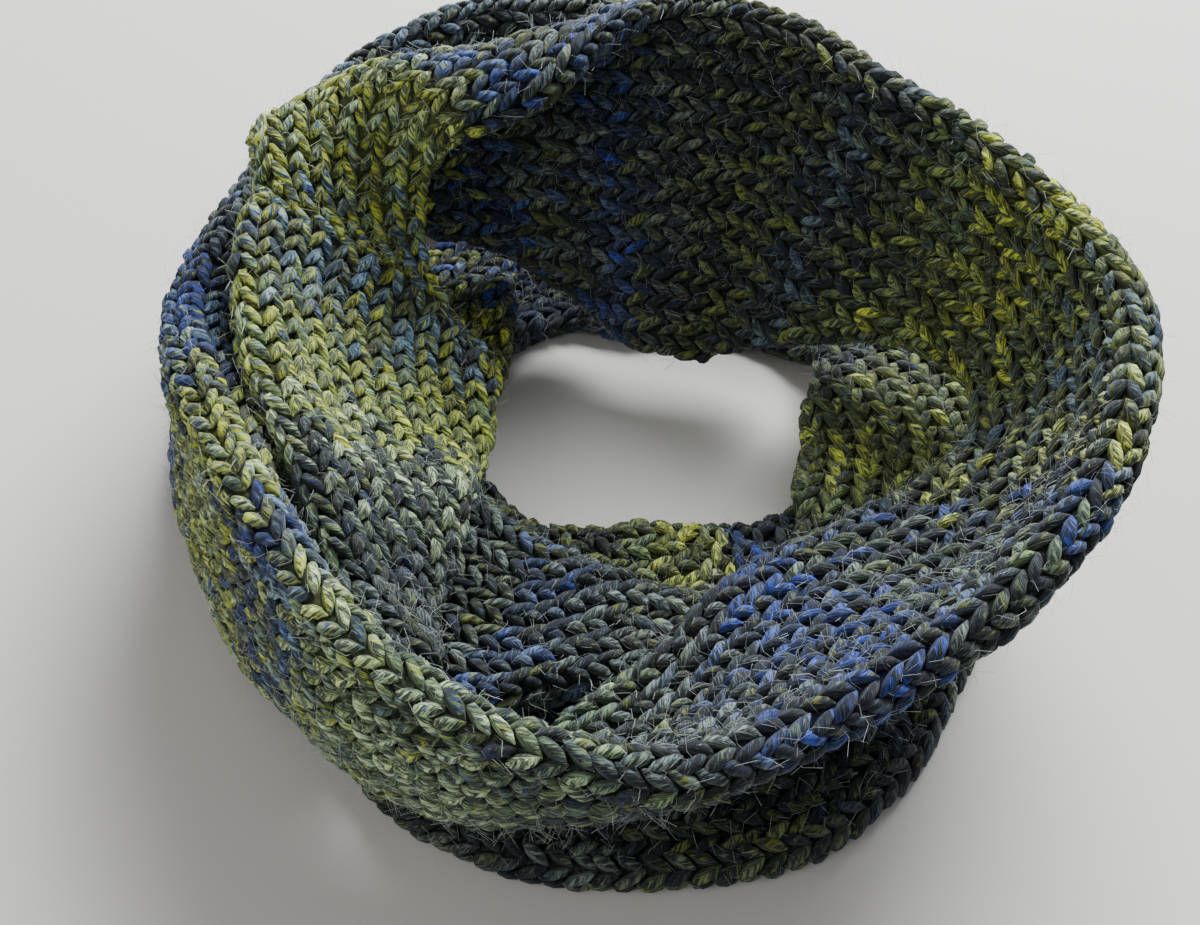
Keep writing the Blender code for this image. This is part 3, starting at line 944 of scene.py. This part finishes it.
def shellFaces(rows, ringPoints):
    # faces of a thin tube: outer skin, inner skin, and a rim at each end
    after = [(place + 1) % ringPoints for place in range(ringPoints)]
    inner = rows * ringPoints
    quads = []
    for offset in (0, inner):
        for row in range(rows - 1):
            base = offset + row * ringPoints
            for place in range(ringPoints):
                a, b = base + place, base + after[place]
                quad = (a, a + ringPoints, b + ringPoints, b)
                quads.append(quad[::-1] if offset else quad)
    for row in (0, rows - 1):
        base = row * ringPoints
        for place in range(ringPoints):
            a, b = base + place, base + after[place]
            quad = (a, b, b + inner, a + inner)
            quads.append(quad[::-1] if row else quad)
    return quads


def makeCloth(name, table, start, end, slot, fromTip):
    # the ground cloth, a thin closed shell with the colours of its stitches, and its flat size
    middle = (knit["clothTop"] + knit["clothBottom"]) / 2
    turns, places, grid, around = bandGrid(table, start, end, middle, fromTip, 1.5)
    inside = np.abs(places) < float(around.min()) / 2
    length = float(np.linalg.norm(np.diff(grid[:, inside], axis=0), axis=2).sum(0).mean())
    rings = max(3, int(round(length / knit["clothStep"])))
    turns = np.linspace(start + knit["clothEnd"], end - knit["clothEnd"], rings + 1)
    outer, inner = (
        [sectionRing(table, t, knit[inset], fromTip, knit["clothFaces"], knit["clothRound"]) for t in turns]
        for inset in ("clothTop", "clothBottom")
    )
    rows, ringPoints = len(turns), len(outer[0])
    mesh = bpy.data.meshes.new(name + "_cloth")
    mesh.from_pydata((np.concatenate(outer + inner) * mm).tolist(), [], shellFaces(rows, ringPoints))
    mesh.update()
    travel = travelOf(outer[0])[1]
    turnOf = np.tile(np.repeat(turns, ringPoints), 2)
    placeOf = np.tile(np.minimum(travel[:-1], travel[-1] - travel[:-1]), 2 * rows)
    main, second, _ = yarnAt(table, turnOf, placeOf)
    storeValues(mesh, "FLOAT_COLOR", mainYarn=main, secondYarn=second)
    storeValues(mesh, "FLOAT", outerFace=np.repeat([1.0, 0.0], rows * ringPoints))
    mesh.materials.append(clothOf[slot])
    mesh.shade_smooth()
    cloth = bpy.data.objects.new(name + "_cloth", mesh)
    bpy.context.scene.collection.objects.link(cloth)
    return cloth, float(around.mean()) * mm, length * mm


def stitchPlaces(surface, around, start, end, phase):
    # turn, place round the band and height of every stitch, column by column
    turns = surface[0]
    pitch = knit["stitchWidth"]
    room = knit["edgeRoom"] * pitch
    halfWay = float(around.max()) / 2
    count = int(halfWay // pitch) + 2
    columns = np.arange(-count, count + 1) * pitch + phase
    path = np.concatenate([[start], turns[(turns >= start) & (turns <= end)], [end]])
    found = []
    for place in columns[np.abs(columns) < halfWay + room]:
        travel = wayAlong(onGrid(*surface, path, np.full(len(path), place)))
        rows = max(1, int(round(travel[-1] / knit["rowHeight"])))
        at = np.interp((np.arange(rows) + 0.5) / rows * travel[-1], travel, path)
        at = at[np.interp(at, turns, around) / 2 - abs(place) > -room]
        found.append(np.column_stack([at, np.full(len(at), place), np.full(len(at), travel[-1] / rows)]))
    return np.vstack(found).T


def fleckColours(fleck, main):
    # the third ply, darker where the yarn is dark
    third = np.zeros_like(main)
    low = 0.0
    for colour, part in unevenKnit["flecks"]:
        chosen = ((fleck >= low) & (fleck < low + part))[:, None]
        third = np.where(chosen, np.array(yarnColours[colour]), third)
        low += part
    brightness = unevenKnit["fleckBase"] + unevenKnit["fleckRise"] * main.mean(axis=1)
    return third * np.clip(brightness, 0.0, 1.0)[:, None]


def stitchGuides(name, table, start, end, fromTip, phase):
    # middle, direction and size of both legs of every stitch on the band
    rng = np.random.default_rng(knit["seed"] + int(start))
    low = max(start - knit["gridMargin"], table[0][0])
    high = min(end + knit["gridMargin"], table[-1][0])
    *surface, around = bandGrid(table, low, high, knit["legInset"], fromTip, 1.0)
    turn, place, spacing = stitchPlaces(surface, around, start, end, phase)
    count = len(turn)
    pitch = knit["stitchWidth"]
    across = onGrid(*surface, turn, place + 1.0) - onGrid(*surface, turn, place - 1.0)
    step = knit["slopeStep"]
    along = onGrid(*surface, turn + step, place) - onGrid(*surface, turn - step, place)
    speed = np.linalg.norm(along, axis=1)
    along /= speed[:, None]
    speed /= 2 * step
    across -= along * (across * along).sum(1)[:, None]
    out = np.cross(along, unit(across))
    chance = rng.random(count)
    times, plus = unevenKnit["chances"]
    found = {"at": [], "turn": [], "size": [], "chance": [], "row": [], "place": [], "fleck": []}
    for side in (-1, 1):
        # a leg lies between two points of the surface, and a stitch's legs lean together along the band
        reach = spacing * knit["legReach"] / 2 / speed
        spread = knit["legSpread"] + rng.normal(0, unevenKnit["spread"], count)
        back = onGrid(*surface, turn - reach, place + side * spread * pitch)
        front = onGrid(*surface, turn + reach, place + side * knit["frontSpread"] * pitch)
        middle = onGrid(*surface, turn, place + side * knit["middleSpread"] * pitch)
        centre = (back + front + 2 * middle) / 4 + rng.normal(0, unevenKnit["place"], middle.shape)
        direction = (front - back) * side
        direction += out * rng.normal(0.0, unevenKnit["tilt"], count)[:, None]
        reach = np.linalg.norm(direction, axis=1)
        direction /= reach[:, None]
        sideways = unit(np.cross(out, direction))
        normal = np.cross(direction, sideways)
        wide = np.clip(spacing / knit["rowHeight"], *knit["rowStretch"])
        wide *= rng.uniform(*unevenKnit["width"], count)
        deep = wide * rng.uniform(*unevenKnit["depth"], count)
        long = np.clip(reach / knit["fullLeg"], *knit["legStretch"])
        for axes in zip(direction, sideways, normal):
            found["turn"].append(tuple(Matrix(axes).transposed().to_euler()))
        found["at"].append(centre)
        found["size"].append(np.column_stack([long, wide, deep]))
        found["chance"].append(np.mod(chance * times + side * plus, 1.0))
        found["row"].append(turn + rng.normal(0, unevenKnit["colourAlong"], count))
        found["place"].append(place + rng.normal(0, unevenKnit["colourAcross"], count))
        found["fleck"].append(rng.random(count))
    at = np.vstack(found["at"])
    at[:, 2] = np.maximum(at[:, 2], knit["legInset"] + knit["tableGap"])
    mesh = bpy.data.meshes.new(name + "_guide")
    mesh.from_pydata((at * mm).tolist(), [], [])
    storeValues(mesh, "FLOAT_VECTOR", legTurn=found["turn"], legSize=np.vstack(found["size"]))
    chance, fleck, row, place = (np.concatenate(found[key]) for key in ("chance", "fleck", "row", "place"))
    main, second, share = yarnAt(table, row, place)
    shade = (1 + unevenKnit["brightness"] * (chance - 0.5))[:, None]
    third = fleckColours(fleck, main)
    storeValues(mesh, "FLOAT_COLOR", mainYarn=main * shade, secondYarn=second * shade, thirdYarn=third)
    storeValues(mesh, "FLOAT", chance=chance, secondShare=share)
    return mesh


def triangleCount(mesh):
    return sum(len(polygon.vertices) - 2 for polygon in mesh.polygons)


floorData = bpy.data.meshes.new("floor")
floorData.from_pydata([(-3, -3, 0), (3, -3, 0), (3, 3, 0), (-3, 3, 0)], [], [(0, 1, 2, 3)])
floor = bpy.data.objects.new("floor", floorData)
bpy.context.scene.collection.objects.link(floor)

total = 0
# the columns of the left panel go on from those above it, which follow the other edge
panelStart = 531
panelHalf = travelOf(sectionRing(upperRows, panelStart, knit["legInset"]))[1][-1] / 2
edgePhase = 0.5 * knit["stitchWidth"]
panelPhase = (panelHalf - edgePhase) % knit["stitchWidth"]
for name, table, start, end, slot, under in stretches:
    fromTip = table is upperRows and start < panelStart
    phase = panelPhase if name == "left_panel" else edgePhase
    cloth, around, length = makeCloth(name, table, start, end, slot, fromTip)
    guides = stitchGuides(name, table, start, end, fromTip, phase)
    stitches = growOn(name + "_stitches", guides, stitchTree, {**legForm, "Wool": woolOf[slot]})
    fuzz = growOn(name + "_fuzz", cloth.data.copy(), fibreTree, {**fibreForm, "Wool": fuzzWool})
    for piece in (cloth, stitches, fuzz):
        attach(piece, "root")
    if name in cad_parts:
        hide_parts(name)
    count = [triangleCount(piece.data) for piece in (cloth, stitches, fuzz)]
    total += sum(count)
    print("knitted", name, count, round(around, 3), round(length, 3))
print("triangles", total)


# A pale floor in soft light from a window behind. Places and sizes in metres.
room = {
    "floor": {"Base Color": (0.60, 0.58, 0.55), "Roughness": 0.8},
    "sky": 0.42,
    "skyColour": (0.93, 0.96, 1.0),
    "window": {
        "power": 74.0, "colour": (0.95, 0.98, 1.0), "size": (1.0, 0.8),
        "place": (0.45, 1.0, 0.95), "target": (0, 0, 0.05),
    },
    "fill": {
        "power": 5.0, "colour": (1.0, 0.97, 0.93), "size": (0.9, 0.9),
        "place": (-0.9, -0.6, 0.9), "target": (0, 0, 0.04),
    },
    "lens": 50.1,              # mm
    "cameraPlace": (-0.0059, -0.3147, 0.3656),
    "cameraTilt": 41.0,        # degrees up from straight down
}
floorData.materials.append(plainMaterial("floor_paint", room["floor"])[0])

world = bpy.data.worlds.new("room")
world.use_nodes = True
background = world.node_tree.nodes["Background"]
background.inputs["Color"].default_value = (*room["skyColour"], 1.0)
background.inputs["Strength"].default_value = room["sky"]
bpy.context.scene.world = world


def addLight(name, look):
    data = bpy.data.lights.new(name, "AREA")
    data.shape = "RECTANGLE"
    data.size, data.size_y = look["size"]
    data.energy = look["power"]
    data.color = look["colour"]
    light = bpy.data.objects.new(name, data)
    light.location = look["place"]
    light.rotation_mode = "QUATERNION"
    towards = Vector(look["target"]) - Vector(look["place"])
    light.rotation_quaternion = towards.to_track_quat("-Z", "Y")
    bpy.context.scene.collection.objects.link(light)


for name in ("window", "fill"):
    addLight(name, room[name])

lens = bpy.data.cameras.new("camera")
lens.sensor_width = 36.0
lens.lens = room["lens"]
lens.clip_start = 0.01
camera = bpy.data.objects.new("camera", lens)
camera.location = room["cameraPlace"]
camera.rotation_euler = (math.radians(room["cameraTilt"]), 0.0, 0.0)
bpy.context.scene.collection.objects.link(camera)
bpy.context.scene.camera = camera
print("room ready")
